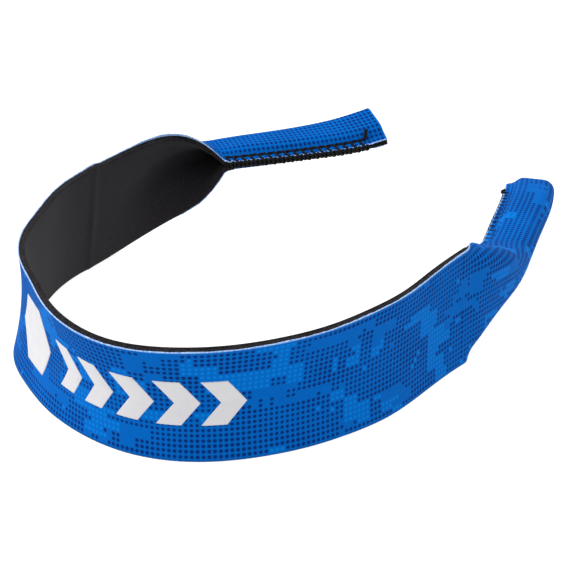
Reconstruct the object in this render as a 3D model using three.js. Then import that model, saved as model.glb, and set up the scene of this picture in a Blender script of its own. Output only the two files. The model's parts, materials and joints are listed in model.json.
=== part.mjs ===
// Sunglass retainer strap: one die-cut strip of printed neoprene laminate, bent into an open loop,
// whose two ends fold lengthwise and are overlocked into sleeves for the temples of a pair of glasses.
// Millimetres, +Z up. The strap stands on its lower edge, its printed middle facing -Y and its ends to +Y.
import * as THREE from 'three';

// Driving dimensions.
const STRAP_WIDTH = 30;
const BAND_LENGTH = 223.3;          // between the two creases
const TAPER_LENGTH = 48;            // crease to throat, where the two edges meet
const SLEEVE_LENGTH = 48;           // throat to mouth, sewn shut
const SLEEVE_STRIP_WIDTH = 29.2;    // what the overlocker's knife leaves of the strip's width
const CREASE_GAP = 0.8;             // room for the laminate to flex between band and end

// The laminate, from the outside in. A thin line of glue parts the plies.
const JERSEY = 0.25;
const FOAM = 1.1;
const LINING = 0.25;
const GLUE = 0.1;
const LAMINATE = JERSEY + GLUE + FOAM + GLUE + LINING;

// Heat-transfer print on the jersey, placed along the strap from its middle: a hexagon and five chevrons.
const FILM = 0.12;
const FILM_LIFT = 0.16;             // clears the facets of the curved jersey
const BADGE = { middle: -34.5, height: 17, halfWidth: 11, shoulder: 5.5 };
const CHEVRON = { first: -18, count: 5, pitch: 10.5, height: 12, stroke: 6, reach: 4.5 };

// Overlock seam along each sleeve's raw edges.
const THREAD = 0.45;
const THREAD_LIFT = 0.2;
const STITCH = 2.45;
const SEAM_START = 1;               // mm past the throat
const SEAM_STOP = 7.5;              // mm short of the mouth
const NEEDLE_LINE = 2;              // mm in from the raw edge, as are the loopers' turns
const LOOPER_INNER = 1.25;
const LOOPER_EDGE = 0.1;

// The thread chain left where a seam runs off: its width, and its line in mm back from the mouth and mm in.
const TAIL = 1.1;
const LEFT_TAIL = [[8.4, 2], [7.6, 2.7], [6.7, 3.7], [4.7, 5]];
const RIGHT_TAIL = [[11, 0.7], [10, 0.6], [9, 0.6], [8, 0.7]];
const TAIL_LIFT = THREAD_LIFT + THREAD + 0.2;

// How the strap lies. Headings are plan angles of travel from the left end to the right, in degrees, and
// every list is evenly spaced over its stretch. Lean and roll turn the section about its own line, flare
// bows it so that its edges stand outward, and rise is the slope of an end on its way out. An end's section
// turns in as a power (closing) of the way along its taper, and its raw edges draw together as another
// (finning). Flat is the share of the half width that stays flat at the crease, and tuck is how far past
// square the edges turn on the way.
const BAND = {
  heading: [-94.5, -73.5, -66.5, -43, -35, -11, 29, 55.5, 73, 88, 80],
  lean: [-7, -6.5, -2, 9.5, 7, 2.5, -1],
  flare: [0, 2.2, 0],
};
const LEFT = {
  heading: [-94.5, -96.5, -131, -130.5, -130],
  rise: [0, 15, 3.5, 4, 14],
  roll: [-7, -6.5, -3.5, -9.5, -21],
  closing: 2.35,
  finning: 2.35,
  flat: 0,
  tuck: 0,
};
const RIGHT = {
  heading: [80, 97, 104, 104, 112],
  rise: [0, -10, -0.5, 1, -6.5],
  roll: [-1, 6, -0.5, 3, 3.5],
  closing: 0.38,
  finning: 0.63,
  flat: 0.71,
  tuck: 0.77,
};
const FADE = 1.4;                   // how soon flat and tuck die away along the taper, as a power

// The closed section of a sleeve: a round fold, a flat run, then the two layers drawn together to a fin.
const FOLD_SHARE = 0.275;           // share of the half width that goes round the fold
const FIN_START = 0.62;
const FIN_GAP = 0.3;

const STEP = 1;                     // of the integration along the strap
const ACROSS_STEPS = 48;            // of the one across it
const BAND_STEPS = 36;
const END_STEPS = 32;
const END_CROWDING = 1.35;
const FILM_ROWS = 4;
const FILM_COLUMNS = 4;
const creaseAt = BAND_LENGTH / 2;
const mouthAt = creaseAt + TAPER_LENGTH + SLEEVE_LENGTH;
const rad = THREE.MathUtils.degToRad;
const clamp = THREE.MathUtils.clamp;
const UP = new THREE.Vector3(0, 0, 1);

/** A smooth curve through evenly spaced values, at t from 0 to 1. */
function through(values, t) {
  const last = values.length - 1;
  const x = clamp(t, 0, 1) * last;
  const i = Math.min(Math.floor(x), last - 1);
  const f = x - i;
  const at = (k) => {
    if (k < 0) return 2 * values[0] - values[1];
    if (k > last) return 2 * values[last] - values[last - 1];
    return values[k];
  };
  const [a, b, c, d] = [at(i - 1), at(i), at(i + 1), at(i + 2)];
  return b + 0.5 * f * (c - a + f * (2 * a - 5 * b + 4 * c - d + f * (3 * (b - c) + d - a)));
}

/** Heading, outward rise, roll and flare at s mm along the strap, from its middle. */
function bend(s) {
  if (Math.abs(s) <= creaseAt) {
    const t = (s + creaseAt) / BAND_LENGTH;
    const { heading, lean, flare } = BAND;
    return { heading: through(heading, t), rise: 0, roll: through(lean, t), flare: through(flare, t) };
  }
  const { heading, rise, roll } = s < 0 ? LEFT : RIGHT;
  const t = (Math.abs(s) - creaseAt) / (mouthAt - creaseAt);
  return { heading: through(heading, t), rise: through(rise, t), roll: through(roll, t), flare: 0 };
}

/** Unit direction of travel at s. */
function travel(s) {
  const { heading, rise } = bend(s);
  const slope = Math.sign(s) * rad(rise);
  const flat = Math.cos(slope);
  return new THREE.Vector3(flat * Math.cos(rad(heading)), flat * Math.sin(rad(heading)), Math.sin(slope));
}

/** Points of the strap's fold line every STEP, from the middle outward, on one side. */
function spine(side) {
  const points = [new THREE.Vector3()];
  for (let s = 0; s < mouthAt; s += STEP) {
    points.push(points.at(-1).clone().addScaledVector(travel(side * (s + STEP / 2)), side * STEP));
  }
  return points;
}
const spines = { left: spine(-1), right: spine(1) };

/** The fold line's point at s, with the band's middle height above the plane it stands on. */
function foldPoint(s) {
  const points = s < 0 ? spines.left : spines.right;
  const x = Math.min(Math.abs(s) / STEP, points.length - 1.001);
  const point = points[Math.floor(x)].clone().lerp(points[Math.floor(x) + 1], x % 1);
  point.z += STRAP_WIDTH / 2;
  return point;
}

/** Section axes at s: up the section, and outward from the loop. */
function axes(s) {
  const { heading, roll } = bend(s);
  const out = new THREE.Vector3(Math.sin(rad(heading)), -Math.cos(rad(heading)), 0);
  const up = new THREE.Vector3().crossVectors(out, travel(s)).multiplyScalar(-1).normalize();
  if (up.dot(UP) < 0) up.negate();
  const c = Math.cos(rad(roll));
  const k = Math.sin(rad(roll));
  return {
    up: up.clone().multiplyScalar(c).addScaledVector(out, k),
    out: out.clone().multiplyScalar(c).addScaledVector(up, -k),
  };
}

/** Where the half section is at share a of the way from fold to raw edge, and how far it has turned. */
function across(s, a) {
  const end = s < 0 ? LEFT : RIGHT;
  const t = clamp((Math.abs(s) - creaseAt) / TAPER_LENGTH, 0, 1);
  const width = STRAP_WIDTH - (STRAP_WIDTH - SLEEVE_STRIP_WIDTH) * t * t;
  const halfWidth = width / 2;
  const foldHeight = halfWidth * FOLD_SHARE * 2 / Math.PI;
  const drop = foldHeight - (LAMINATE + FIN_GAP) / 2;
  const pinch = t ** end.finning * 2 * drop / ((1 - FIN_START) * halfWidth);
  const fade = (1 - t) ** FADE;
  const flat = end.flat * fade;
  const square = t ** end.closing * (1 + end.tuck * fade) * Math.PI / 2;
  const turn = (share) => {
    const round = clamp((share - flat) / FOLD_SHARE, 0, 1);
    const fin = clamp((share - FIN_START) / (1 - FIN_START), 0, 1);
    return square * round + pinch * Math.sin(Math.PI * fin) ** 2;
  };
  const step = halfWidth * a / ACROSS_STEPS;
  let inward = 0;
  let up = 0;
  for (let k = 0; k < ACROSS_STEPS; k += 1) {
    const angle = turn(a * (k + 0.5) / ACROSS_STEPS);
    inward += step * Math.sin(angle);
    up += step * Math.cos(angle);
  }
  return { inward, up, width, angle: turn(a) };
}

/** The point at s, a across from -1 at the lower edge to 1 at the upper, and offset out of the middle. */
function surface(s, a, offset) {
  const { up, out } = axes(s);
  const { flare } = bend(s);
  const side = Math.sign(a);
  const p = across(s, Math.abs(a));
  const v = side * p.up / p.width;
  const bow = flare * (4 * v * v - 1 / 3);
  const lift = side * Math.sin(p.angle) - 8 * flare * v / p.width * Math.cos(p.angle);
  const normal = out.clone().multiplyScalar(Math.cos(p.angle)).addScaledVector(up, lift).normalize();
  return foldPoint(s).addScaledVector(up, side * p.up).addScaledVector(out, bow - p.inward)
    .addScaledVector(normal, offset);
}

/** A closed solid between two faces given as equal grids of points. */
function shell(front, back) {
  const rows = front.length;
  const cols = front[0].length;
  const vertices = [...front.flat(), ...back.flat()].flatMap((p) => p.toArray());
  const f = (i, j) => i * cols + j;
  const b = (i, j) => rows * cols + i * cols + j;
  const index = [];
  const quad = (p, q, r, t) => index.push(p, q, r, p, r, t);
  for (let i = 0; i + 1 < rows; i += 1) {
    for (let j = 0; j + 1 < cols; j += 1) {
      quad(f(i, j), f(i + 1, j), f(i + 1, j + 1), f(i, j + 1));
      quad(b(i, j), b(i, j + 1), b(i + 1, j + 1), b(i + 1, j));
    }
    quad(b(i, 0), b(i + 1, 0), f(i + 1, 0), f(i, 0));
    quad(f(i, cols - 1), f(i + 1, cols - 1), b(i + 1, cols - 1), b(i, cols - 1));
  }
  for (let j = 0; j + 1 < cols; j += 1) {
    quad(f(0, j), f(0, j + 1), b(0, j + 1), b(0, j));
    quad(b(rows - 1, j), b(rows - 1, j + 1), f(rows - 1, j + 1), f(rows - 1, j));
  }
  const geometry = new THREE.BufferGeometry();
  geometry.setAttribute('position', new THREE.Float32BufferAttribute(vertices, 3));
  geometry.setIndex(index);
  geometry.computeVertexNormals();
  return geometry;
}

/** One ply of the laminate through these stations, its outer face at this depth below the strap's. */
function ply({ stations, steps }, depth, thickness) {
  const faces = [0, thickness].map((below) => {
    const offset = LAMINATE / 2 - depth - below;
    return stations.map((s) => {
      const line = Array.from({ length: 2 * steps + 1 }, (_, j) => surface(s, j / steps - 1, offset));
      line[0].z = Math.abs(s) < creaseAt ? 0 : Math.max(line[0].z, 0);
      return line;
    });
  });
  return shell(...faces);
}

/** A patch of print film whose left and right outlines are functions of height from the strap's middle. */
function film(left, right, height) {
  const faces = [FILM, 0].map((above) => Array.from({ length: FILM_COLUMNS + 1 }, (_, i) => (
    Array.from({ length: FILM_ROWS + 1 }, (__, j) => {
      const v = height * (j / FILM_ROWS - 0.5);
      const s = left(v) + (right(v) - left(v)) * i / FILM_COLUMNS;
      return surface(s, 2 * v / STRAP_WIDTH, LAMINATE / 2 + FILM_LIFT + above);
    }))));
  return shell(...faces);
}

/** A thread on the jersey of one layer, 1 upper or -1 lower, through points [s, mm in from the edge]. */
function laidThread(points, layer, lift, width = THREAD) {
  const path = points[0][0] < points.at(-1)[0] ? points : [...points].reverse();
  const edges = path.map(([s, inset], i) => {
    const [s0, inset0] = path[Math.max(i - 1, 0)];
    const [s1, inset1] = path[Math.min(i + 1, path.length - 1)];
    const along = new THREE.Vector2(s1 - s0, inset1 - inset0).setLength(width / 2);
    return [-layer, layer].map((k) => [s + k * along.y, inset - k * along.x]);
  });
  const faces = [lift + THREAD, lift].map((height) => edges.map((pair) => pair.map(([s, inset]) => (
    surface(s, layer * (1 - inset * 2 / SLEEVE_STRIP_WIDTH), LAMINATE / 2 + height)))));
  return shell(...faces);
}

/** The threads of the overlock seam that closes one sleeve, side -1 left or 1 right. */
function overlock(side) {
  const first = creaseAt + TAPER_LENGTH + SEAM_START;
  const stitches = Math.floor((mouthAt - SEAM_STOP - first) / STITCH);
  const needle = [];
  const looper = [];
  for (let k = 0; k <= stitches; k += 1) {
    const s = side * (first + k * STITCH);
    if (k % 2 === 0) needle.push([s, NEEDLE_LINE]);
    looper.push([s, LOOPER_EDGE], [s + side * STITCH / 2, LOOPER_INNER]);
  }
  const tail = (side < 0 ? LEFT_TAIL : RIGHT_TAIL).map(([back, inset]) => [side * (mouthAt - back), inset]);
  return {
    needle_thread: laidThread(needle, 1, THREAD_LIFT),
    upper_looper: laidThread(looper, 1, THREAD_LIFT),
    lower_looper: laidThread(looper, -1, THREAD_LIFT),
    thread_tail: laidThread(tail, 1, TAIL_LIFT, TAIL),
  };
}

const group = new THREE.Group();

function add(name, geometry, material) {
  const mesh = new THREE.Mesh(geometry, material);
  mesh.name = name;
  group.add(mesh);
}

const material = (color, roughness) => new THREE.MeshStandardMaterial({ color, roughness, metalness: 0 });
const jerseyBlue = material(0x0a4fc0, 0.85);
const foamBlack = material(0x1a1a1c, 0.95);
const liningBlack = material(0x232326, 0.9);
const filmWhite = material(0xeeeeee, 0.5);
const threadBlack = material(0x101013, 0.7);

const PLIES = [
  { name: 'jersey', depth: 0, thickness: JERSEY, material: jerseyBlue },
  { name: 'foam', depth: JERSEY + GLUE, thickness: FOAM, material: foamBlack },
  { name: 'lining', depth: LAMINATE - LINING, thickness: LINING, material: liningBlack },
];

// Stations along the band are even. Along an end they are closest together at its crease.
const bandReach = creaseAt - CREASE_GAP / 2;
const bandStations = Array.from({ length: BAND_STEPS + 1 }, (_, i) => bandReach * (2 * i / BAND_STEPS - 1));
const endReach = mouthAt - creaseAt - CREASE_GAP / 2;
const endStations = Array.from({ length: END_STEPS + 1 }, (_, i) => (
  creaseAt + CREASE_GAP / 2 + endReach * (i / END_STEPS) ** END_CROWDING));

const STRETCHES = [
  { name: 'band', stations: bandStations, steps: 2 },
  { name: 'left_end', stations: endStations.map((s) => -s).reverse(), steps: 7 },
  { name: 'right_end', stations: endStations, steps: 10 },
];
for (const stretch of STRETCHES) {
  for (const { name, depth, thickness, material: look } of PLIES) {
    add(`${stretch.name}_${name}`, ply(stretch, depth, thickness), look);
  }
}

const slant = (v, height, from, to) => from + (to - from) * (1 - Math.abs(2 * v / height));
const badgeEdge = (v) => slant(v, BADGE.height, BADGE.shoulder, BADGE.halfWidth);
const badgeLeft = (v) => BADGE.middle - badgeEdge(v);
const badgeRight = (v) => BADGE.middle + badgeEdge(v);
add('print_badge', film(badgeLeft, badgeRight, BADGE.height), filmWhite);
for (let k = 0; k < CHEVRON.count; k += 1) {
  const start = CHEVRON.first + k * CHEVRON.pitch;
  const edge = (v) => start + slant(v, CHEVRON.height, 0, CHEVRON.reach);
  add(`print_chevron_${k + 1}`, film(edge, (v) => edge(v) + CHEVRON.stroke, CHEVRON.height), filmWhite);
}

for (const [end, side] of [['left', -1], ['right', 1]]) {
  for (const [name, geometry] of Object.entries(overlock(side))) {
    add(`${end}_${name}`, geometry, threadBlack);
  }
}

// The origin is the middle of the footprint, on the plane the strap stands on.
const box = new THREE.Box3().setFromObject(group);
const centre = box.getCenter(new THREE.Vector3());
group.position.set(-centre.x, -centre.y, -box.min.z);

export default group;
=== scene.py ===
import json
import math

import bmesh
import bpy
import numpy as np
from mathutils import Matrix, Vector


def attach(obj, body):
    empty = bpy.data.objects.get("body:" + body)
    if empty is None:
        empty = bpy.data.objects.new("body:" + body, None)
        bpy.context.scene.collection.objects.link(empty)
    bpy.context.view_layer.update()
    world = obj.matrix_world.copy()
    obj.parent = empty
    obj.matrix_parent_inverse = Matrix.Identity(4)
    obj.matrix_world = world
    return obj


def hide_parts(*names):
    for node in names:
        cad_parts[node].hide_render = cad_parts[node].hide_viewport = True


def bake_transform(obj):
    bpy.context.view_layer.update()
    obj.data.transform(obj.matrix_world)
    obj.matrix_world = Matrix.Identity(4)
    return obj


# Looks of the sunglass retainer strap: a strip of printed neoprene laminate bent into an open loop, whose
# ends fold lengthwise and are overlocked into sleeves. The strap's own law is in millimetres along (s) and
# across (a, from -1 at the lower edge to 1 at the upper); everything placed in the scene is in metres.

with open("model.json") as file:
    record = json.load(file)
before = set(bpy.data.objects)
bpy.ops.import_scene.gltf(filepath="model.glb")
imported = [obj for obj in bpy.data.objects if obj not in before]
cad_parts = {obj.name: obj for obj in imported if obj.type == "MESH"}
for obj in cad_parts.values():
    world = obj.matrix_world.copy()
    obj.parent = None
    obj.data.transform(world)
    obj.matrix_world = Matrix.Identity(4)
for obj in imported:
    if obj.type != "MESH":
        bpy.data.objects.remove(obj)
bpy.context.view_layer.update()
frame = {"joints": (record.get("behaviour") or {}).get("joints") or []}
MM = 0.001

# ---------------------------------------------------------------- the strap, as the CAD has it

STRAP_WIDTH = 30
BAND_LENGTH = 223.3
TAPER_LENGTH = 48
SLEEVE_LENGTH = 48
SLEEVE_STRIP_WIDTH = 29.2
LAMINATE = 1.8
# The lists are spread evenly along their stretches, in degrees, but flare in mm: heading is the way the strip
# runs, rise its climb, roll its lean about that way, and flare how far its edges bow out. Of the numbers,
# closing and finning say how late the section folds and its raw edges pinch together, flat how much of it
# stays flat at the crease, and tuck how much further it turns there.
BAND = {
    "heading": [-94.5, -73.5, -66.5, -43, -35, -11, 29, 55.5, 73, 88, 80],
    "roll": [-7, -6.5, -2, 9.5, 7, 2.5, -1],
    "flare": [0, 2.2, 0],
}
LEFT = {
    "heading": [-94.5, -96.5, -131, -130.5, -130],
    "rise": [0, 15, 3.5, 4, 14],
    "roll": [-7, -6.5, -3.5, -9.5, -21],
    "closing": 2.35,
    "finning": 2.35,
    "flat": 0,
    "tuck": 0,
}
RIGHT = {
    "heading": [80, 97, 104, 104, 112],
    "rise": [0, -10, -0.5, 1, -6.5],
    "roll": [-1, 6, -0.5, 3, 3.5],
    "closing": 0.38,
    "finning": 0.63,
    "flat": 0.71,
    "tuck": 0.77,
}
# How fast flat and tuck fade, the share of a half section that rounds the fold, the share from which the raw
# edges pinch together, and the gap that they keep, in mm.
FADE = 1.4
FOLD_SHARE = 0.275
FIN_START = 0.62
FIN_GAP = 0.3
CREASE_AT = BAND_LENGTH / 2
THROAT_AT = CREASE_AT + TAPER_LENGTH
MOUTH_AT = THROAT_AT + SLEEVE_LENGTH

# Plies as they show: their faces, in mm out from the middle of the laminate.
JERSEY_OUT, JERSEY_IN = 0.9, 0.6
FOAM_OUT, FOAM_IN = 0.59, -0.6
LINING_OUT, LINING_IN = -0.61, -0.9

# The overlock seam along each sleeve's raw edges, in mm.
STITCH = 2.45
SEAM_START = 0.8
THREAD_RADIUS = 0.19
# By side, left (-1) and right (1): how far short of the mouth the seam stops, how far in from the raw edges
# the needle runs, and how deep the threads have sunk.
SEAM_STOP = {-1: 5.5, 1: 7.5}
NEEDLE_LINE = {-1: 2.0, 1: 1.5}
SUNK = {-1: 0.0, 1: 0.2}

# The printed marks, placed in mm along the strap from its middle.
BADGE = {"middle": -34.5, "height": 17, "half_width": 11, "shoulder": 5.5}
CHEVRON = {"first": -18, "count": 5, "pitch": 10.5, "height": 12, "stroke": 6, "reach": 4.5}


def between(a, b, c, d, f):
    """A Catmull-Rom curve from b (at f = 0) to c (at f = 1), whose neighbours are a and d."""
    return b + 0.5 * f * (c - a + f * (2 * a - 5 * b + 4 * c - d + f * (3 * (b - c) + d - a)))


def through(values, t):
    """A smooth curve through evenly spaced values, at t from 0 to 1."""
    values = np.asarray(values, float)
    last = len(values) - 1
    x = np.clip(t, 0, 1) * last
    i = np.minimum(np.floor(x).astype(int), last - 1)
    before, after = 2 * values[0] - values[1], 2 * values[-1] - values[-2]
    padded = np.concatenate([[before], values, [after]])
    return between(*(padded[i + k] for k in range(4)), x - i)


def bend(s):
    """Heading, slope and roll in radians and flare in mm, at each s."""
    s = np.asarray(s, float)
    on_band = np.abs(s) <= CREASE_AT
    t_band = (s + CREASE_AT) / BAND_LENGTH
    t_end = (np.abs(s) - CREASE_AT) / (MOUTH_AT - CREASE_AT)

    def pick(key, band):
        ends = np.where(s < 0, through(LEFT[key], t_end), through(RIGHT[key], t_end))
        return np.where(on_band, band, ends)

    heading = np.radians(pick("heading", through(BAND["heading"], t_band)))
    slope = np.sign(s) * np.radians(pick("rise", 0))
    roll = np.radians(pick("roll", through(BAND["roll"], t_band)))
    flare = np.where(on_band, through(BAND["flare"], t_band), 0)
    return heading, slope, roll, flare


def travel(s):
    """Unit direction of travel at each s."""
    heading, slope, _, _ = bend(s)
    flat = np.cos(slope)
    return np.stack([flat * np.cos(heading), flat * np.sin(heading), np.sin(slope)], -1)


def spine(side):
    """Points of the fold line every mm, from the middle outward."""
    steps = side * travel(side * (np.arange(math.ceil(MOUTH_AT) + 2) + 0.5))
    return np.vstack([np.zeros(3), np.cumsum(steps, 0)])


SPINES = {-1: spine(-1), 1: spine(1)}


def fold_point(s):
    """The fold line at each s, in the law's own frame, in mm."""
    s = np.asarray(s, float)
    at = np.arange(len(SPINES[1]))
    sides = [np.stack([np.interp(np.abs(s), at, SPINES[k][:, i]) for i in range(3)], -1) for k in (-1, 1)]
    point = np.where((s < 0)[..., None], *sides)
    point[..., 2] += STRAP_WIDTH / 2
    return point


# Where the law's frame sits in the scene's: both have the left crease's axis.
left_hinge = next(joint for joint in frame["joints"] if joint["name"] == "left_crease_flex")
SHIFT = np.array(left_hinge["pos_m"]) / MM - fold_point(np.array([-CREASE_AT]))[0]


def axes(s):
    """Section axes at each s: up the section, and outward from the loop."""
    heading, _, roll, _ = bend(s)
    out = np.stack([np.sin(heading), -np.cos(heading), np.zeros_like(heading)], -1)
    up = -np.cross(out, travel(s))
    up /= np.linalg.norm(up, axis=-1, keepdims=True)
    up = np.where(up[..., 2:] < 0, -up, up)
    c, k = np.cos(roll)[..., None], np.sin(roll)[..., None]
    return c * up + k * out, c * out - k * up


def strip_width(s):
    """How wide the strip is at each s: the overlocker trims it a little where it sews."""
    t = np.clip((np.abs(s) - CREASE_AT) / TAPER_LENGTH, 0, 1)
    return STRAP_WIDTH - (STRAP_WIDTH - SLEEVE_STRIP_WIDTH) * t * t


# Shares of the way from the fold line to a raw edge, at which the section's turning is added up.
SHARES = np.linspace(0, 1, 97)


def half_section(s, a):
    """How far in and up the section has gone at share |a| of the way to its raw edge, and its turn there."""
    t = np.clip((np.abs(s) - CREASE_AT) / TAPER_LENGTH, 0, 1)
    left = s < 0

    def end(key):
        return np.where(left, LEFT[key], RIGHT[key])

    half = strip_width(s) / 2
    drop = half * FOLD_SHARE * 2 / math.pi - (LAMINATE + FIN_GAP) / 2
    pinch = t ** end("finning") * 2 * drop / ((1 - FIN_START) * half)
    fade = (1 - t) ** FADE
    flat = end("flat") * fade
    square = t ** end("closing") * (1 + end("tuck") * fade) * math.pi / 2
    rounding = np.clip((SHARES - flat[:, None]) / FOLD_SHARE, 0, 1)
    fin = np.sin(math.pi * np.clip((SHARES - FIN_START) / (1 - FIN_START), 0, 1)) ** 2
    angle = square[:, None] * rounding + pinch[:, None] * fin
    step = half[:, None] / (len(SHARES) - 1)

    def summed(values):
        middles = (values[:, 1:] + values[:, :-1]) / 2 * step
        return np.concatenate([np.zeros((len(values), 1)), np.cumsum(middles, 1)], 1)

    x = np.clip(np.abs(a), 0, 1) * (len(SHARES) - 1)
    i = np.minimum(x.astype(int), len(SHARES) - 2)
    f = x - i
    row = np.arange(len(x))

    def at(values):
        return values[row, i] * (1 - f) + values[row, i + 1] * f

    return at(summed(np.sin(angle))), at(summed(np.cos(angle))), at(angle)


def by_side(s, values):
    """The left or right value of a pair, at each s."""
    return np.where(s < 0, values[-1], values[1])


# The relief of the soft laminate, in mm. A ripple's length is in mm to the radian, and its lean in radians
# from the middle to an edge. The squeezes are shares of the thickness: all along the raw edges of the sleeve,
# and more where the seam holds them, most of all at each stitch's waist and under the needle line.
CREASE_DEPTH, CREASE_WIDTH = 0.4, 1.3
RIPPLE, RIPPLE_LENGTH, RIPPLE_LEAN = 0.08, 7.3, 1.1
EDGE_RIPPLE, EDGE_RIPPLE_LENGTH, EDGE_RIPPLE_LEAN = 0.05, 3.9, 0.8
CALM_MOUTH = 12
SEAM_FADE = 2
EDGE_SQUEEZE, EDGE_RUN_IN, EDGE_FADE = 0.5, 4, 3.2
SEAM_SQUEEZE, WAIST_SQUEEZE, WAIST_AT = 0.02, 0.16, 0.3
GROOVE_SQUEEZE, GROOVE_WIDTH = 0.12, 0.6


def sewn(s):
    """1 where the overlock seam holds the raw edges together, 0 elsewhere."""
    past_throat = np.abs(s) - THROAT_AT - SEAM_START
    short_of_mouth = MOUTH_AT - by_side(s, SEAM_STOP) - np.abs(s)
    return np.clip(past_throat / SEAM_FADE + 1, 0, 1) * np.clip(short_of_mouth / SEAM_FADE + 1, 0, 1)


def relief(s, a, offset):
    """What the soft laminate does around the law, in mm outward: crease lines, ripples, a squeezed seam."""
    crease = -CREASE_DEPTH * np.exp(-(((np.abs(s) - CREASE_AT) / CREASE_WIDTH) ** 2)) * (1 - 0.5 * np.abs(a))
    ripple = RIPPLE * np.sin(s / RIPPLE_LENGTH + RIPPLE_LEAN * a)
    ripple += EDGE_RIPPLE * np.sin(s / EDGE_RIPPLE_LENGTH - EDGE_RIPPLE_LEAN * a + 1) * np.abs(a)
    calm = np.clip((MOUTH_AT - np.abs(s)) / CALM_MOUTH, 0, 1)
    inset = (1 - np.abs(a)) * strip_width(s) / 2
    at_edge = np.clip(1.5 - inset / EDGE_FADE, 0, 1)
    flattened = np.clip((np.abs(s) - THROAT_AT) / EDGE_RUN_IN, 0, 1) * EDGE_SQUEEZE
    stitches = (np.abs(s) - THROAT_AT - SEAM_START) / STITCH
    waist = 0.5 + 0.5 * np.cos(2 * math.pi * (stitches - WAIST_AT))
    groove = np.exp(-(((inset - by_side(s, NEEDLE_LINE)) / GROOVE_WIDTH) ** 2))
    squeeze = at_edge * (flattened + sewn(s) * (SEAM_SQUEEZE + WAIST_SQUEEZE * waist))
    squeeze += GROOVE_SQUEEZE * groove * sewn(s)
    return crease + ripple * calm - (offset + LAMINATE / 2) * squeeze


def surface(s, a, offset, lift=0.0):
    """Points in metres in the scene, at paired s, a and offset; lift is further out, past the relief."""
    s, a, offset = (np.asarray(v, float) for v in np.broadcast_arrays(s, a, offset))
    up, out = axes(s)
    flare = bend(s)[3]
    side = np.sign(a)
    inward, rise, angle = half_section(s, a)
    width = strip_width(s)
    # The flare bows the section as a parabola, whose slope tilts the normal.
    v = side * rise / width
    bow = flare * (4 * v * v - 1 / 3)
    tilt = side * np.sin(angle) - 8 * flare * v / width * np.cos(angle)
    normal = out * np.cos(angle)[:, None] + up * tilt[:, None]
    normal /= np.linalg.norm(normal, axis=-1, keepdims=True)
    point = fold_point(s) + up * (side * rise)[:, None] + out * (bow - inward)[:, None]
    point += normal * (offset + relief(s, a, offset) + lift)[:, None]
    return (point + SHIFT) * MM


# The waves of a knife-cut edge: radians to the mm, and height in mm.
CUT_WAVES = ((0.9, 0.05), (0.31, 0.06), (2.3, 0.035), (5.1, 0.02))


def ragged(s, seed):
    """A smooth wandering of a knife-cut edge, in mm."""
    return sum(size * np.sin(rate * s + seed * (k + 1.7)) for k, (rate, size) in enumerate(CUT_WAVES))


# ---------------------------------------------------------------- meshes


def loft(name, rings, uv, cap="pairs", ring_material=None, cap_material=0, rim=None):
    """A closed body through rings of points, smooth along and flat at its two ends.

    An end is closed by quads that pair one half of its ring with the other, or by one face.
    """
    count, size = rings.shape[:2]
    faces, kinds = [], []
    for i in range(count - 1):
        for j in range(size):
            k = (j + 1) % size
            faces.append((i * size + j, i * size + k, (i + 1) * size + k, (i + 1) * size + j))
            kinds.append(0 if ring_material is None else ring_material[j])
    for row, turn in ((0, 1), (count - 1, -1)):
        base = row * size
        if cap == "pairs":
            half = size // 2
            caps = [(j, size - 1 - j, size - 2 - j, j + 1) for j in range(half - 1)]
        else:
            caps = [tuple(range(size))[::-1]]
        for c in caps:
            faces.append(tuple(base + x for x in c[::turn]))
            kinds.append(cap_material)
    mesh = bpy.data.meshes.new(name)
    mesh.from_pydata(rings.reshape(-1, 3).tolist(), [], faces)
    mesh.polygons.foreach_set("use_smooth", np.arange(len(faces)) < (count - 1) * size)
    mesh.polygons.foreach_set("material_index", np.array(kinds, np.int32))
    corner = np.zeros(len(mesh.loops), np.int32)
    mesh.loops.foreach_get("vertex_index", corner)
    for layer, values in (("strip", uv), ("rim", rim)):
        if values is not None:
            made = mesh.uv_layers.new(name=layer)
            made.uv.foreach_set("vector", values.reshape(-1, 2)[corner].astype(np.float32).ravel())
    mesh.update()
    piece = bpy.data.objects.new(name, mesh)
    bpy.context.scene.collection.objects.link(piece)
    return piece


def dress(piece, slot, *looks):
    """Give a piece its materials. Its slot is not used."""
    for look in looks:
        piece.data.materials.append(look)
    return piece


# ---------------------------------------------------------------- materials


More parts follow.
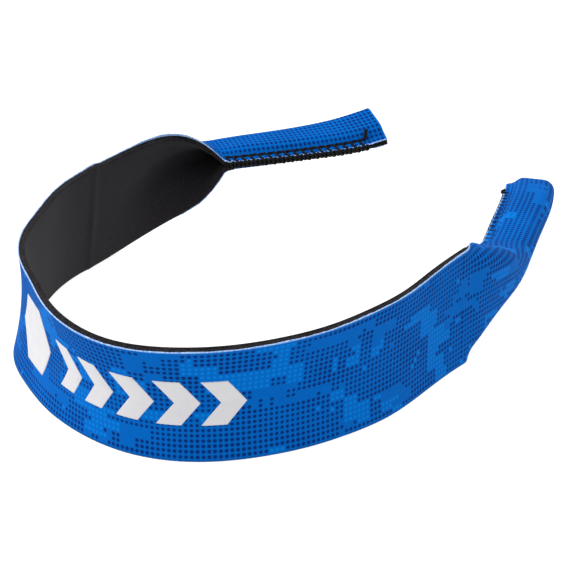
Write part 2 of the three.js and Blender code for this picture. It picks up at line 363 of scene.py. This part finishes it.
class Graph:
    """Shorthands for building a material's nodes: each takes values or other nodes' outputs."""

    def __init__(self, name):
        self.material = bpy.data.materials.new(name)
        self.material.use_nodes = True
        self.tree = self.material.node_tree
        self.surface = self.tree.nodes["Principled BSDF"]

    def link(self, value, socket):
        if isinstance(value, bpy.types.NodeSocket):
            self.tree.links.new(value, socket)
        elif value is not None:
            socket.default_value = value

    def node(self, kind, inputs=(), **settings):
        made = self.tree.nodes.new(kind)
        for key, value in settings.items():
            setattr(made, key, value)
        for key, value in dict(inputs).items():
            self.link(value, made.inputs[key])
        return made

    def math(self, operation, a, b=None):
        given = {i: x for i, x in enumerate((a, b)) if x is not None}
        return self.node("ShaderNodeMath", given, operation=operation).outputs[0]

    def vector(self, operation, a, b=None, scale=None):
        made = self.node("ShaderNodeVectorMath", operation=operation)
        self.link(a, made.inputs[0])
        self.link(b, made.inputs[1])
        if scale is not None:
            self.link(scale, made.inputs["Scale"])
        return made.outputs["Value"] if operation == "LENGTH" else made.outputs[0]

    def uv(self, layer):
        return self.node("ShaderNodeUVMap", uv_map=layer).outputs[0]

    def split(self, vector):
        return self.node("ShaderNodeSeparateXYZ", {0: vector}).outputs

    def join(self, x, y):
        return self.node("ShaderNodeCombineXYZ", {0: x, 1: y}).outputs[0]

    def noise(self, vector, scale=1.0, detail=0.0, rough=0.5, seed=0.0):
        """Noise that a seed makes different, or solid noise if the seed is None."""
        inputs = {"Vector": vector, "Scale": scale, "Detail": detail, "Roughness": rough}
        if seed is not None:
            inputs["W"] = seed
        dimensions = "3D" if seed is None else "4D"
        return self.node("ShaderNodeTexNoise", inputs, noise_dimensions=dimensions).outputs[0]

    def step(self, value, low, high, start=0.0, end=1.0):
        inputs = {"Value": value, "From Min": low, "From Max": high, "To Min": start, "To Max": end}
        return self.node("ShaderNodeMapRange", inputs, interpolation_type="SMOOTHSTEP").outputs[0]

    def mix(self, share, a, b):
        made = self.node("ShaderNodeMix", data_type="RGBA")
        self.link(share, made.inputs["Factor"])
        self.link(a, made.inputs[6])
        self.link(b, made.inputs[7])
        return made.outputs[2]

    def bump(self, height, strength, distance, normal=None):
        inputs = {"Height": height, "Strength": strength, "Distance": distance}
        made = self.node("ShaderNodeBump", inputs)
        self.link(normal, made.inputs["Normal"])
        return made.outputs[0]

    def finish(self, color, roughness, normal=None, **inputs):
        self.link(color, self.surface.inputs["Base Color"])
        self.link(roughness, self.surface.inputs["Roughness"])
        self.link(normal, self.surface.inputs["Normal"])
        for key, value in inputs.items():
            self.link(value, self.surface.inputs[key.replace("_", " ")])
        return self.material


def srgb(red, green, blue):
    """A colour given as 0 to 255 on a screen, for a node."""

    def linear(x):
        x /= 255
        return x / 12.92 if x <= 0.04045 else ((x + 0.055) / 1.055) ** 2.4

    return (linear(red), linear(green), linear(blue), 1.0)


def scale_for(size):
    """The scale of a pattern whose features are this many mm across."""
    return 1 / (size * MM)


KNIT_WALE = 0.42 * MM
KNIT_COURSE = 0.36 * MM


def knit(g, place, depth):
    """The fine face of a jersey knit: wales along the strap, with a stitch at every course."""
    x, y, _ = g.split(place)
    wale = g.math("ABSOLUTE", g.math("SINE", g.math("MULTIPLY", y, math.pi / KNIT_WALE)))
    course = g.math("SINE", g.math("MULTIPLY", x, 2 * math.pi / KNIT_COURSE))
    height = g.math("ADD", wale, g.math("MULTIPLY", course, 0.35))
    fuzz = g.noise(place, scale_for(0.25), 2.0, 0.7)
    return g.bump(g.math("ADD", height, g.math("MULTIPLY", fuzz, 0.8)), 0.55, depth)


# The halftone print of the jersey: a square lattice of dots, this many mm apart. The dots' radii and blur are
# shares of that, and the blots of camouflage are made of blocks of 3 by 2 dots. Towards the strap's ends
# blots are scarcer, from and to these places, in metres from the middle.
DOT_PITCH = 1.32
DOT_RADII, DOT_BLUR = (0.3, 0.37), 0.09
BLOCK = (3, 2)
BLOTS_SCARCER = (0.145, 0.185)


def printed_jersey():
    """Blue jersey with a dot lattice and a blocky camouflage, whose undyed core shows at the cut edges."""
    g = Graph("printed_jersey")
    place = g.uv("strip")
    cells = g.vector("SCALE", place, scale=scale_for(DOT_PITCH))
    cell = g.vector("FLOOR", cells)
    inside = g.vector("SUBTRACT", g.vector("FRACTION", cells), (0.5, 0.5, 0))
    from_dot = g.vector("LENGTH", inside)
    block = g.vector("FLOOR", g.vector("MULTIPLY", cell, (1 / BLOCK[0], 1 / BLOCK[1], 1)))
    ripple = g.noise(g.vector("MULTIPLY", cell, (0.42, 0.5, 1)), seed=3.3)
    scarce = g.step(g.math("ABSOLUTE", g.split(place)[0]), *BLOTS_SCARCER, end=0.07)

    def blot(seed, along, over, share):
        """1 inside blots of this size in blocks, whose outlines step from dot to dot."""
        coarse = g.noise(g.vector("MULTIPLY", block, (along, over, 1)), detail=1.0, seed=seed)
        nudge = g.math("MULTIPLY", g.math("SUBTRACT", ripple, 0.5), 0.13)
        field = g.math("ADD", coarse, nudge)
        return g.math("GREATER_THAN", g.math("SUBTRACT", field, scarce), share)

    plain = blot(seed=11.4, along=0.22, over=0.3, share=0.6)
    bright = blot(seed=27.9, along=0.24, over=0.32, share=0.585)
    quiet = g.math("MAXIMUM", plain, bright)
    depth = g.noise(g.vector("MULTIPLY", cell, (0.07, 0.12, 1)), detail=1.0, seed=5.1)
    radius = g.step(depth, 0.35, 0.65, *DOT_RADII)
    dot = g.step(g.math("SUBTRACT", from_dot, radius), DOT_BLUR, -DOT_BLUR)
    light_dot = g.step(from_dot, 0.38, 0.2)
    cloth = g.mix(g.noise(place, scale_for(9), 2.0), srgb(0, 87, 170), srgb(0, 96, 181))
    ink = g.mix(depth, srgb(2, 43, 114), srgb(3, 30, 90))
    dotted = g.mix(g.math("MULTIPLY", dot, 0.92), cloth, ink)
    glow = g.mix(g.math("MULTIPLY", light_dot, 0.7), srgb(0, 97, 182), srgb(2, 122, 208))
    color = g.mix(bright, g.mix(quiet, dotted, cloth), glow)

    nap = g.noise(place, scale_for(0.5), 2.0)
    to_edge = g.math("ADD", g.split(g.uv("rim"))[0], g.math("MULTIPLY", nap, 0.35 * MM))
    worn = g.step(to_edge, 0.42 * MM, 0.2 * MM)
    color = g.mix(g.math("MULTIPLY", worn, 0.6), color, srgb(120, 170, 225))
    rough = g.step(nap, 0.3, 0.7, 0.72, 0.86)
    return g.finish(color, rough, knit(g, place, 0.05 * MM), Sheen_Weight=0.03, Sheen_Roughness=0.4,
                    Sheen_Tint=srgb(60, 140, 255), Specular_IOR_Level=0.03)


def jersey_edge():
    """The cut edge of the jersey, where its undyed core shows."""
    g = Graph("jersey_edge")
    place = g.uv("strip")
    nap = g.noise(place, scale_for(0.6), 3.0, 0.7)
    color = g.mix(g.step(nap, 0.38, 0.66), srgb(172, 196, 232), srgb(60, 130, 208))
    return g.finish(color, 0.9, g.bump(nap, 0.8, 0.1 * MM), Sheen_Weight=0.4)


def foam_core():
    """Black closed-cell foam, pitted where the knife has cut it."""
    g = Graph("foam_core")
    place = g.node("ShaderNodeTexCoord").outputs["Object"]
    cells = g.node("ShaderNodeTexVoronoi", {"Vector": place, "Scale": scale_for(0.32)}).outputs["Distance"]
    grain = g.noise(place, scale_for(0.7), 3.0, 0.65, seed=None)
    color = g.mix(g.step(grain, 0.35, 0.7), srgb(20, 19, 20), srgb(42, 39, 42))
    normal = g.bump(cells, 0.7, 0.16 * MM, g.bump(grain, 0.5, 0.2 * MM))
    return g.finish(color, 0.92, normal, Sheen_Weight=0.03, Specular_IOR_Level=0.06)


def black_lining():
    """Charcoal jersey with a faint fleck and a soft nap."""
    g = Graph("black_lining")
    place = g.uv("strip")
    fleck = g.noise(place, scale_for(0.45), 2.0, 0.8)
    cloud = g.noise(place, scale_for(14), 2.0)
    base = g.mix(cloud, srgb(26, 24, 27), srgb(34, 32, 36))
    color = g.mix(g.step(fleck, 0.52, 0.8, 0, 0.6), base, srgb(84, 82, 88))
    return g.finish(color, g.step(fleck, 0.3, 0.7, 0.82, 0.95), knit(g, place, 0.06 * MM),
                    Sheen_Weight=0.05, Sheen_Roughness=0.5, Specular_IOR_Level=0.08)


def print_film():
    """White heat-transfer film, which takes the knit's texture and a few hairline flaws."""
    g = Graph("print_film")
    place = g.uv("strip")
    grime = g.noise(place, scale_for(5), 3.0, 0.6)
    flaw = g.node("ShaderNodeTexVoronoi", {"Vector": place, "Scale": scale_for(2.2)},
                  feature="DISTANCE_TO_EDGE").outputs["Distance"]
    crack = g.math("MULTIPLY", g.step(flaw, 0.02, 0.0), g.step(grime, 0.5, 0.62, 0, 0.35))
    color = g.mix(grime, srgb(208, 207, 208), srgb(196, 195, 199))
    color = g.mix(crack, color, srgb(150, 172, 205))
    return g.finish(color, g.step(grime, 0.3, 0.7, 0.5, 0.62), knit(g, place, 0.02 * MM),
                    Specular_IOR_Level=0.12)


def sewing_thread(name, dark, light):
    """Bulky overlock thread: two plies twisted together, with fluff."""
    g = Graph(name)
    place = g.uv("strip")
    along, around, _ = g.split(place)
    turns = g.math("ADD", g.math("MULTIPLY", along, 2 * math.pi / (0.9 * MM)),
                   g.math("MULTIPLY", around, 2 * math.pi))
    twist = g.math("ABSOLUTE", g.math("SINE", turns))
    fluff = g.noise(g.join(g.math("MULTIPLY", along, 1 / MM), around), 6.0, 2.0)
    color = g.mix(g.math("MULTIPLY", twist, fluff), dark, light)
    return g.finish(color, 0.75, g.bump(g.math("ADD", twist, fluff), 0.8, 0.09 * MM),
                    Sheen_Weight=0.04, Specular_IOR_Level=0.12)


LOOKS = {
    "jersey": printed_jersey(),
    "jersey_edge": jersey_edge(),
    "foam": foam_core(),
    "lining": black_lining(),
    "print": print_film(),
    "thread": sewing_thread("black_thread", srgb(7, 7, 9), srgb(27, 25, 29)),
}


# ---------------------------------------------------------------- the laminate

# How finely the strip and its edges are divided, and what the lower edge's seed adds to the upper one's.
ACROSS = 44
RIM_STEPS = 4
OTHER_EDGE = 2.6
# The jersey's cut edge stands out past the foam by a lip, and curls out further where the strip folds. By
# side: how far it curls, and how far past the crease it starts to. The lower edge curls less, and has no lip
# on the band, which stands on it. All in mm, but the lower edge's curl is a share of the upper one's.
JERSEY_LIP = 0.2
CURL = {-1: 0.7, 1: 0.15}
CURL_FROM = {-1: 14, 1: -14}
CURL_RUN_IN, CURL_RUN_OUT = 14, 10
LOWER_CURL = 0.2
CLEAR_FROM, CLEAR_RUN_IN = 3, 8
# The left crease pushes its upper edge up a little. The right one is smoothed this often, over this reach.
CREST, CREST_REACH = 0.7, 3.5
CREASE_ROUNDS = {-1: 0, 1: 18}
CREASE_REACH = 4.5
# How far to each side of the crease, in mm, points on the fold line are taken; nothing uses them.
BLEND_REACH = 6


def stations(side):
    """Places along one half: coarse on the band, finer where the strip folds, finest where it is sewn.

    The first two are close together, so that the halves meet in the middle with the same normals.
    """
    stretches = (
        (0.4, CREASE_AT - 4, 0.8),
        (CREASE_AT - 4, THROAT_AT - 2, 0.5),
        (THROAT_AT - 2, MOUTH_AT, 0.3),
    )
    rows = [np.arange(start, stop, step) for start, stop, step in stretches]
    return side * np.concatenate([[0, 0.05], *rows, [MOUTH_AT]])


def lips(s, side):
    """How far the jersey's upper and lower cut edges stand out past the foam, in mm, at each |s|."""
    run_in = np.clip((s - CREASE_AT - CURL_FROM[side]) / CURL_RUN_IN, 0, 1)
    curled = run_in * np.clip((THROAT_AT - s) / CURL_RUN_OUT + 0.5, 0, 1)
    clear = np.clip((s - CREASE_AT - CLEAR_FROM) / CLEAR_RUN_IN, 0, 1)
    return JERSEY_LIP + CURL[side] * curled, clear * (JERSEY_LIP + LOWER_CURL * CURL[side] * curled)


def section(s, side, outer, inner, edge_seed, bulge, lip):
    """One ply's closed section at each |s|, as paired a and offset, with rounded, slightly ragged edges."""
    face = np.linspace(-1, 1, ACROSS + 1)
    turn = np.pi * (np.arange(RIM_STEPS) + 0.5) / RIM_STEPS
    rim_in = np.abs(np.cos(turn)) * bulge
    rim_out = (outer - inner) / 2 * np.cos(turn)
    middle = (outer + inner) / 2
    top, bottom = ragged(s, edge_seed), ragged(s, edge_seed + OTHER_EDGE)
    if side < 0:
        top += CREST * np.exp(-(((s - CREASE_AT) / CREST_REACH) ** 2))
    top_lip, bottom_lip = (lip * reach for reach in lips(s, side))
    half = strip_width(s)[:, None] / 2
    upper = 1 + ((top + top_lip)[:, None] - rim_in) / half
    lower = -1 - ((bottom + bottom_lip)[:, None] - rim_in) / half
    faces = np.tile(face, (len(s), 1))
    a = np.hstack([faces, upper, faces[:, ::-1], lower])
    offset = [np.full(len(face), outer), middle + rim_out, np.full(len(face), inner), middle - rim_out]
    return a, np.tile(np.concatenate(offset), (len(s), 1))


def beyond(s, a, offset):
    """surface() that also reaches a little past the raw edge, along the way the strip was going."""
    point = surface(s, np.clip(a, -1, 1), offset)
    past = np.abs(a) > 1
    s, a, offset = s[past], a[past], offset[past]
    half = strip_width(s) / 2
    way = point[past] - surface(s, np.sign(a) * (1 - 0.5 / half), offset)
    way /= np.linalg.norm(way, axis=-1, keepdims=True)
    point[past] += way * ((np.abs(a) - 1) * half)[:, None] * MM
    return point


def softened(rings, s, rounds):
    """The rings with the crease rounded, as soft foam rounds it: each is drawn towards its neighbours."""
    share = 0.5 * np.exp(-(((s[1:-1] - CREASE_AT) / CREASE_REACH) ** 4))[:, None, None]
    for _ in range(rounds):
        rings[1:-1] += share * ((rings[:-2] + rings[2:]) / 2 - rings[1:-1])
    return rings


def ply(name, side, looks, outer, inner, edge_seed, bulge, lip):
    """Half of one ply of the laminate, from the middle of the band to one mouth.

    The first look is on its outer face, and the last on its edges and its inner face.
    """
    s = stations(side)
    a, offset = section(np.abs(s), side, outer, inner, edge_seed, bulge, lip)
    rows, size = a.shape
    ss = np.repeat(s, size)
    rings = beyond(ss, a.ravel(), offset.ravel()).reshape(rows, size, 3)
    rings = softened(rings, np.abs(s), CREASE_ROUNDS[side])
    ss = ss.reshape(rows, size)
    half = strip_width(ss) / 2
    across = a * half
    to_edge = np.minimum(half - np.abs(across), MOUTH_AT - np.abs(ss))
    uv = np.stack([ss, across], -1) * MM
    rim = np.stack([np.maximum(to_edge, 0), ss], -1) * MM
    kind = np.full(size, len(looks) - 1)
    kind[:ACROSS] = 0
    if side < 0:
        rings, uv, rim = rings[:, ::-1], uv[:, ::-1], rim[:, ::-1]
        kind = np.roll(kind[::-1], -1)
    piece = loft(name, rings, uv, ring_material=kind, cap_material=len(looks) - 1, rim=rim)
    return dress(piece, looks[0], *(LOOKS[look] for look in looks))


# By ply: its looks, its faces, the seed and roundness of its cut edges, and the share of the lip that it has.
PLIES = {
    "jersey": (("jersey", "jersey_edge"), JERSEY_OUT, JERSEY_IN, 0.4, 0.12, 1),
    "foam": (("foam",), FOAM_OUT, FOAM_IN, 3.1, 0.1, 0),
    "lining": (("lining",), LINING_OUT, LINING_IN, 5.7, 0.1, 0),
}
HALVES = {-1: "left", 1: "right"}

for side, half_name in HALVES.items():
    end = f"{half_name}_end"
    halves = {kind: ply(f"{kind}_{half_name}_half", side, *facts) for kind, facts in PLIES.items()}
    bend_ends = fold_point(side * (CREASE_AT + np.array([-BLEND_REACH, BLEND_REACH])))
    for kind, piece in halves.items():
        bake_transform(piece)
        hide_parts(f"band_{kind}", f"{end}_{kind}")


# ---------------------------------------------------------------- the print

# The film's thickness, how far its edge has sunk into the jersey and how much its face is rounded off, in mm.
FILM, FILM_SUNK, FILM_ROUNDED = 0.12, 0.03, 0.12
FILM_STEPS = 24


def rows_of(height):
    """Where a patch's rows are across the strap, in mm."""
    return height * (np.linspace(0, 1, FILM_STEPS + 1) - 0.5)


def pointed(height, at_ends, at_middle):
    """A value for each row of a patch, which runs straight from at_ends to at_middle and back."""
    return at_ends + (at_middle - at_ends) * (1 - np.abs(2 * rows_of(height) / height))


def film_piece(name, node, height, left, right):
    """A patch of film between two outlines, given along the strap for each row, with a soft rounded edge."""
    s = np.linspace(left, right, FILM_STEPS + 1, axis=1)
    v = np.repeat(rows_of(height)[:, None], FILM_STEPS + 1, 1)
    middle, width = s.mean(1, keepdims=True), np.maximum(np.ptp(s, axis=1, keepdims=True), 1)

    def layer(lift, shrink):
        ss = middle + (s - middle) * (1 - shrink / width * 2)
        vv = v * (1 - 2 * shrink / height)
        points = surface(ss.ravel(), 2 * vv.ravel() / STRAP_WIDTH, JERSEY_OUT, lift)
        return points.reshape(s.shape + (3,))

    bottom, top = layer(-FILM_SUNK, 0), layer(FILM, FILM_ROUNDED)
    rings = np.concatenate([top, bottom[:, ::-1]], 1)
    flat = np.stack([s, v], -1)
    uv = np.concatenate([flat, flat[:, ::-1]], 1) * MM
    piece = loft(name, rings[:, ::-1], uv[:, ::-1])
    dress(piece, "print", LOOKS["print"])
    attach(piece, "band")
    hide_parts(node)


half = pointed(BADGE["height"], BADGE["shoulder"], BADGE["half_width"])
film_piece("badge_film", "print_badge", BADGE["height"], BADGE["middle"] - half, BADGE["middle"] + half)
for k in range(CHEVRON["count"]):
    left = CHEVRON["first"] + k * CHEVRON["pitch"] + pointed(CHEVRON["height"], 0, CHEVRON["reach"])
    right = left + CHEVRON["stroke"]
    film_piece(f"chevron_film_{k + 1}", f"print_chevron_{k + 1}", CHEVRON["height"], left, right)


# ---------------------------------------------------------------- the overlock seams

# Radii of the threads, in mm. The two strands of the purl are bulkier.
NEEDLE_RADIUS, PURL_RADIUS, TAIL_RADIUS = THREAD_RADIUS * 0.9, THREAD_RADIUS * 1.7, THREAD_RADIUS * 1.05
THREAD_SIDES = 8
# Keeps a division from failing where a line would double back.
TINY = 1e-12

# Going round the two raw edges: the way starts this far in from them, heads out as seen from further in, and
# bulges past them, all in mm.
EDGE_INSET, EDGE_LOOK_BACK, EDGE_BULGE = 0.1, 1.1, 0.35

# One stitch of a looper: a leg out from the needle line, the turn round the raw edges, a leg back, and the
# crossing to the next stitch. A leg has points at shares of the needle line's distance, the turn has them at
# mm along and degrees round, and the crossing has one at mm along, mm past the needle line and mm of lift.
SLANT = 0.42
LEG_GAP = 0.3
LEG_SHARES = (0.65, 0.3)
DIVE_LIFT, RISE_LIFT = 0.05, 0.1
EDGE_TURN = ((0, 30), (0.05, 62), (LEG_GAP / 2, 92), (LEG_GAP, 62), (LEG_GAP, 30))
CROSSING = (1.3, 0.22, 0.2)

# The purl: how many steps a stitch has, how far round the edges it swings in degrees, and its lift in mm.
PURL_STEPS, PURL_SWING, PURL_LIFT = 8, 48, 0.12

# One stitch of the needle thread, as mm along and mm of lift, and how far outside the needle line it lies.
NEEDLE_STITCH = ((0.25, -0.12), (0.9, 0.22), (1.5, 0.26), (2.1, 0.2))
NEEDLE_SHIFT = 0.25

# The tails: strands this far from their common middle, which go round it once in so many mm.
TAIL_STRANDS, TAIL_SPREAD, TAIL_LAY = 3, 0.3, 2.1
# Where each tail runs: mm back from the mouth, mm in from the raw edge or (below 0) out past it, and lift.
# Past the raw edge it lies so many degrees round.
TAILS = {
    -1: [(6.4, 1.6, 0.3), (5.9, 2.1, 0.45), (5.4, 2.9, 0.5), (5.1, 3.6, 0.5), (4.6, 4.1, 0.45)],
    1: [(10.8, 0.1, 0.1), (9.9, 0.0, 0.2), (9.0, -0.05, 0.25), (8.1, -0.05, 0.25), (7.2, 0.0, 0.2)],
}
TAIL_TURN = 55


def smooth_line(points, per_span):
    """A Catmull-Rom line through points."""
    points = np.asarray(points, float)
    padded = np.vstack([2 * points[0] - points[1], points, 2 * points[-1] - points[-2]])
    f = np.linspace(0, 1, per_span, endpoint=False)[:, None]
    spans = [between(*padded[k : k + 4], f) for k in range(len(points) - 1)]
    return np.vstack([*spans, points[-1:]])


def lengths(line):
    """How far along the line each of its points is."""
    return np.concatenate([[0], np.cumsum(np.linalg.norm(np.diff(line, axis=0), axis=1))])


def tube(name, line, radius):
    """A round thread along a line of points in metres, with its length and turn as coordinates."""
    along = np.gradient(line, axis=0)
    along /= np.linalg.norm(along, axis=-1, keepdims=True) + TINY
    across = [np.cross(along[0], (0.3, 0.2, 1.0))]
    for direction in along[1:]:
        across.append(across[-1] - direction * (across[-1] @ direction))
    across = np.array(across)
    across -= along * (across * along).sum(-1, keepdims=True)
    across /= np.linalg.norm(across, axis=-1, keepdims=True)
    other = np.cross(along, across)
    share = np.arange(THREAD_SIDES) / THREAD_SIDES
    turn = 2 * math.pi * np.arange(THREAD_SIDES) / THREAD_SIDES
    c, k = np.cos(turn)[None, :, None], np.sin(turn)[None, :, None]
    rings = line[:, None] + radius * MM * (c * across[:, None] + k * other[:, None])
    uv = np.stack(np.broadcast_arrays(lengths(line)[:, None], share[None]), -1)
    return loft(name, rings[:, ::-1], uv[:, ::-1], cap="ngon")


def on_layer(s, inset, layer, lift):
    """A point on the jersey of the upper (1) or lower (-1) layer of a sleeve, in mm in from its raw edge."""
    a = layer * (1 - inset / (strip_width(np.array([s])) / 2))
    return surface(np.array([s]), a, JERSEY_OUT, lift)[0]


def round_edge(s, turn, lift):
    """A point round the two raw edges, at turn 0 on the upper layer and 180 degrees on the lower."""
    top, bottom = (on_layer(s, EDGE_INSET, layer, 0) for layer in (1, -1))
    inner = (on_layer(s, EDGE_LOOK_BACK, 1, 0) + on_layer(s, EDGE_LOOK_BACK, -1, 0)) / 2
    middle = (top + bottom) / 2
    out = (middle - inner) / np.linalg.norm(middle - inner)
    half = (top - bottom) / 2
    reach = 1 + lift * MM / np.linalg.norm(half)
    angle = math.radians(turn)
    return middle + half * math.cos(angle) * reach + out * math.sin(angle) * (EDGE_BULGE + lift) * MM


def looper(side, first, count, layer):
    """The thread that zigzags over one layer: out to the raw edges, round them and back, once a stitch."""
    reach = NEEDLE_LINE[side]
    crossing, past, crossing_lift = CROSSING

    def leg(s, inset, lift=THREAD_RADIUS):
        return on_layer(side * (s + SLANT * (reach - inset)), inset, layer, lift - SUNK[side])

    def edge(s, turn):
        shown = turn if layer > 0 else 180 - turn
        return round_edge(side * (s + SLANT * reach), shown, THREAD_RADIUS - SUNK[side])

    points = []
    for k in range(count):
        s = first + k * STITCH
        points.append(leg(s, reach, DIVE_LIFT))
        points += [leg(s, reach * share) for share in LEG_SHARES]
        points += [edge(s + along, turn) for along, turn in EDGE_TURN]
        points += [leg(s + LEG_GAP, reach * share) for share in LEG_SHARES[::-1]]
        points.append(leg(s + LEG_GAP, reach, RISE_LIFT))
        points.append(leg(s + crossing, reach + past, crossing_lift))
    return smooth_line(points, per_span=3)


def purl(side, first, count, phase):
    """One of the two strands that wind round each other along the raw edges, where the loopers lock."""
    points = []
    for k in range(count * PURL_STEPS + 1):
        s = side * (first + k * STITCH / PURL_STEPS)
        turn = 2 * math.pi * (k / PURL_STEPS + phase)
        lift = PURL_LIFT + PURL_LIFT * math.cos(turn) - SUNK[side]
        points.append(round_edge(s, 90 + PURL_SWING * math.sin(turn), lift))
    return smooth_line(points, per_span=2)


def needle(side, first, count):
    """The needle thread: a row of back-to-back stitches that dip into the laminate at every hole."""
    points = []
    for k in range(count):
        s = first + k * STITCH
        for along, lift in NEEDLE_STITCH:
            inset = NEEDLE_LINE[side] - NEEDLE_SHIFT
            points.append(on_layer(side * (s + along), inset, 1, lift - 2 * SUNK[side]))
    return smooth_line(points, per_span=3)


def joined_pieces(first, *others):
    """One piece of several, keeping their coordinates."""
    work = bmesh.new()
    for piece in (first, *others):
        work.from_mesh(piece.data)
    work.to_mesh(first.data)
    work.free()
    for piece in others:
        bpy.data.objects.remove(piece)
    return first


def tail(name, side):
    """The tail of thread chain left where the seam runs off: strands wound round one another."""
    points = []
    for back, inset, lift in TAILS[side]:
        s = side * (MOUTH_AT - back)
        if inset >= 0:
            points.append(on_layer(s, inset, 1, lift))
        else:
            points.append(round_edge(s, TAIL_TURN, lift + THREAD_RADIUS - inset))
    line = smooth_line(points, per_span=10)
    along = np.gradient(line, axis=0)
    along /= np.linalg.norm(along, axis=-1, keepdims=True)
    across = np.cross(along, (0.1, 0.3, 1.0))
    across /= np.linalg.norm(across, axis=-1, keepdims=True)
    other = np.cross(along, across)
    strands = []
    for k in range(TAIL_STRANDS):
        turn = 2 * math.pi * (lengths(line) / MM / TAIL_LAY + k / TAIL_STRANDS)
        wound = TAIL_SPREAD * MM * (np.cos(turn)[:, None] * across + np.sin(turn)[:, None] * other)
        strands.append(tube(name if k == 0 else f"{name}_{k}", line + wound, TAIL_RADIUS))
    return joined_pieces(*strands)


for side, half_name in HALVES.items():
    seam = f"{half_name}_seam"
    first = THROAT_AT + SEAM_START
    count = int((MOUTH_AT - SEAM_STOP[side] - first) / STITCH)
    needle_thread = tube(f"{seam}_needle_thread", needle(side, first, count), NEEDLE_RADIUS)
    upper_looper = tube(f"{seam}_upper_looper", looper(side, first, count, 1), THREAD_RADIUS)
    lower_looper = tube(f"{seam}_lower_looper", looper(side, first, count, -1), THREAD_RADIUS)
    purls = [tube("strand", purl(side, first, count, phase), PURL_RADIUS) for phase in (0, 0.5)]
    threads = {
        "needle_thread": needle_thread,
        "upper_looper": upper_looper,
        "lower_looper": joined_pieces(lower_looper, *purls),
        "thread_tail": tail(f"{seam}_tail", side),
    }
    for node, piece in threads.items():
        dress(piece, "thread", LOOKS["thread"])
        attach(piece, f"{half_name}_end")
        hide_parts(f"{half_name}_{node}")


# ---------------------------------------------------------------- camera, light and floor

# Angles in degrees, distances in metres; WHITE is how brightly the surroundings and the floor glow.
VIEW = {"azimuth": 29.2, "elevation": 23.6, "distance": 0.58887}
TARGET = Vector((-0.00511, 0.01523, 0.00003))
LENS, SENSOR = 138.89, 36.0
WHITE = 0.85
FLOOR_REACH = 3.0


def look_from(thing, azimuth, elevation, distance, target):
    """Put a camera or lamp in the scene, this far from its target and facing it; azimuth 0 faces +Y."""
    bpy.context.scene.collection.objects.link(thing)
    a, e = math.radians(azimuth), math.radians(elevation)
    back = Vector((math.sin(a) * math.cos(e), -math.cos(a) * math.cos(e), math.sin(e)))
    thing.location = target + back * distance
    thing.rotation_euler = (-back).to_track_quat("-Z", "Y").to_euler()


def panel(name, azimuth, elevation, distance, size, power):
    """A soft square light looking at the strap."""
    lamp = bpy.data.objects.new(name, bpy.data.lights.new(name, "AREA"))
    lamp.data.size, lamp.data.energy = size, power
    look_from(lamp, azimuth, elevation, distance, Vector())


camera = bpy.data.objects.new("camera", bpy.data.cameras.new("camera"))
camera.data.lens, camera.data.sensor_width = LENS, SENSOR
camera.data.clip_start, camera.data.clip_end = 0.01, 20
look_from(camera, **VIEW, target=TARGET)
bpy.context.scene.camera = camera

panel("key", azimuth=-60, elevation=45, distance=1.2, size=0.9, power=9)
panel("top", azimuth=30, elevation=85, distance=1.3, size=1.2, power=7)

world = bpy.data.worlds.new("studio")
bpy.context.scene.world = world
world.use_nodes = True
sky = world.node_tree.nodes["Background"].inputs
sky["Color"].default_value = (1, 1, 1, 1)
sky["Strength"].default_value = WHITE

corners = [(x * FLOOR_REACH, y * FLOOR_REACH, 0) for x, y in ((-1, -1), (1, -1), (1, 1), (-1, 1))]
floor_mesh = bpy.data.meshes.new("floor")
floor_mesh.from_pydata(corners, [], [(0, 1, 2, 3)])
floor = bpy.data.objects.new("floor", floor_mesh)
bpy.context.scene.collection.objects.link(floor)
paper = Graph("paper").finish((0.3, 0.3, 0.3, 1), 1.0, Specular_IOR_Level=0.0,
                              Emission_Color=(1, 1, 1, 1), Emission_Strength=WHITE)
floor.data.materials.append(paper)

bpy.context.scene.view_settings.view_transform = "Standard"
